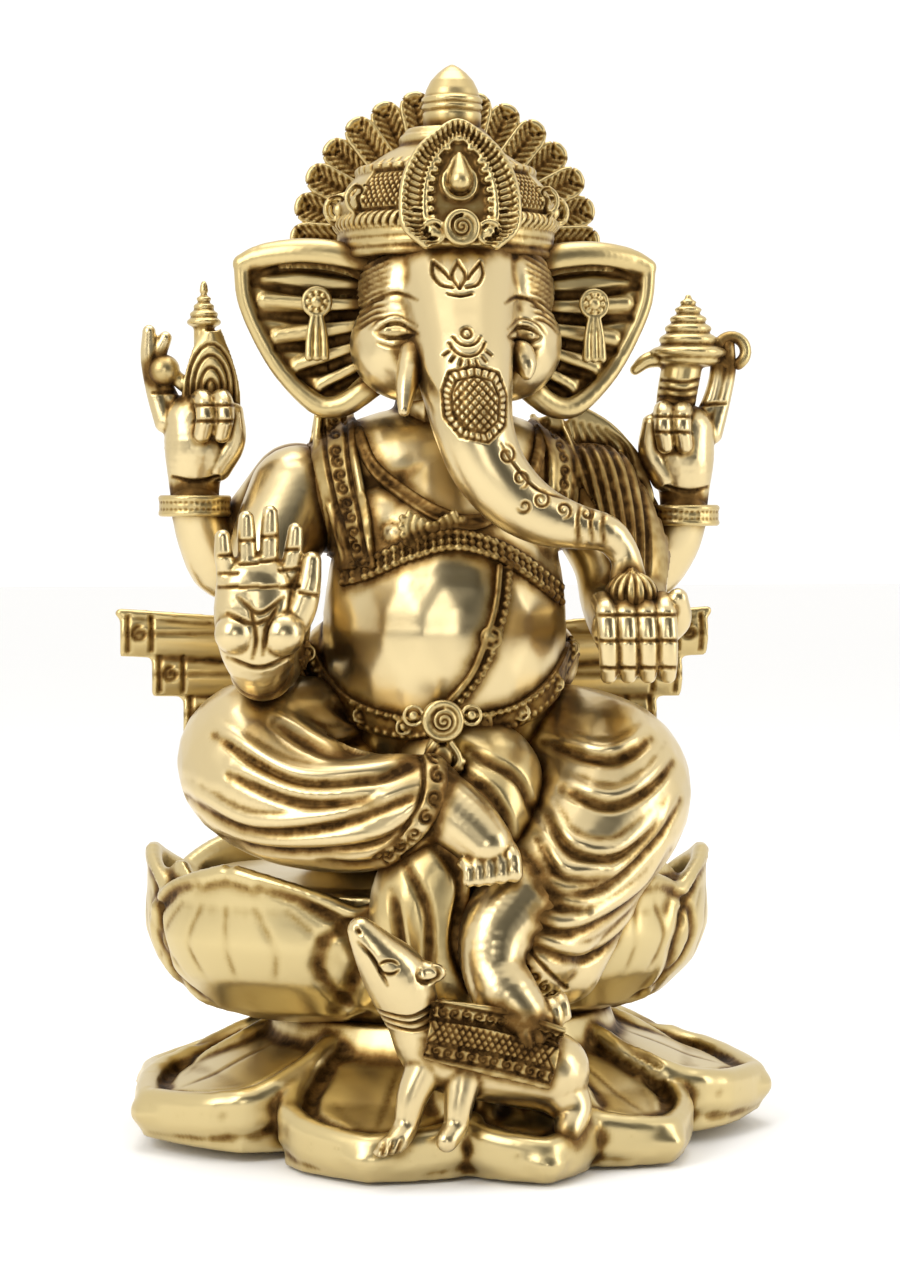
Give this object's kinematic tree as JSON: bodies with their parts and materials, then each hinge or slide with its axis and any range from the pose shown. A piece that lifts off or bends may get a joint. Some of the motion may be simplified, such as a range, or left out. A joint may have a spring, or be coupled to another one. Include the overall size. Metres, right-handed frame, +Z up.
{
  "type": "deity statue",
  "caption": "Seated elephant-headed deity in cast brass on a double lotus, one leg down, with raised hands, crown, feathered halo and a mouse in front.",
  "frame": {"origin": "centre of the footprint, on the surface it stands on", "axes": "+Z up, the statue faces -Y, its own left hand is at +X"},
  "size_m": [0.2013, 0.1995, 0.33],
  "materials": {
    "polished_brass": "buffed, with brown patina left in the recesses",
    "cast_brass": "fine cast relief, brown patina in the recesses, rubbed bright on the ridges",
    "lotus_brass": "satin, hand rubbed, brown patina in the seams"
  },
  "bodies": {
    "root": {"lower_lotus": "lotus_brass", "upper_lotus": "lotus_brass", "torso": "polished_brass", "right_leg": "polished_brass", "left_leg": "polished_brass", "right_foot": "polished_brass", "left_foot": "polished_brass", "lap_cloth": "cast_brass", "right_stole": "cast_brass", "left_stole": "cast_brass", "right_stole_end": "cast_brass", "left_stole_end": "cast_brass", "belt": "cast_brass", "belt_buckle": "cast_brass", "sacred_thread": "cast_brass", "chest_band": "cast_brass", "necklace": "cast_brass", "rear_right_arm": "polished_brass", "rear_left_arm": "polished_brass", "rear_right_hand": "polished_brass", "rear_left_hand": "polished_brass", "rear_right_bangle": "cast_brass", "rear_left_bangle": "cast_brass", "goad": "cast_brass", "noose": "cast_brass", "front_right_arm": "polished_brass", "front_left_arm": "polished_brass", "front_right_hand": "polished_brass", "front_left_hand": "polished_brass", "modak": "cast_brass", "head": "polished_brass", "right_tusk": "polished_brass", "left_tusk": "polished_brass", "right_ear": "cast_brass", "left_ear": "cast_brass", "right_earring": "cast_brass", "left_earring": "cast_brass", "crown": "cast_brass", "crown_crest": "cast_brass", "crown_finial": "cast_brass", "halo": "cast_brass", "mouse": "polished_brass", "saddle_cloth": "cast_brass"}
  },
  "joints": []
}
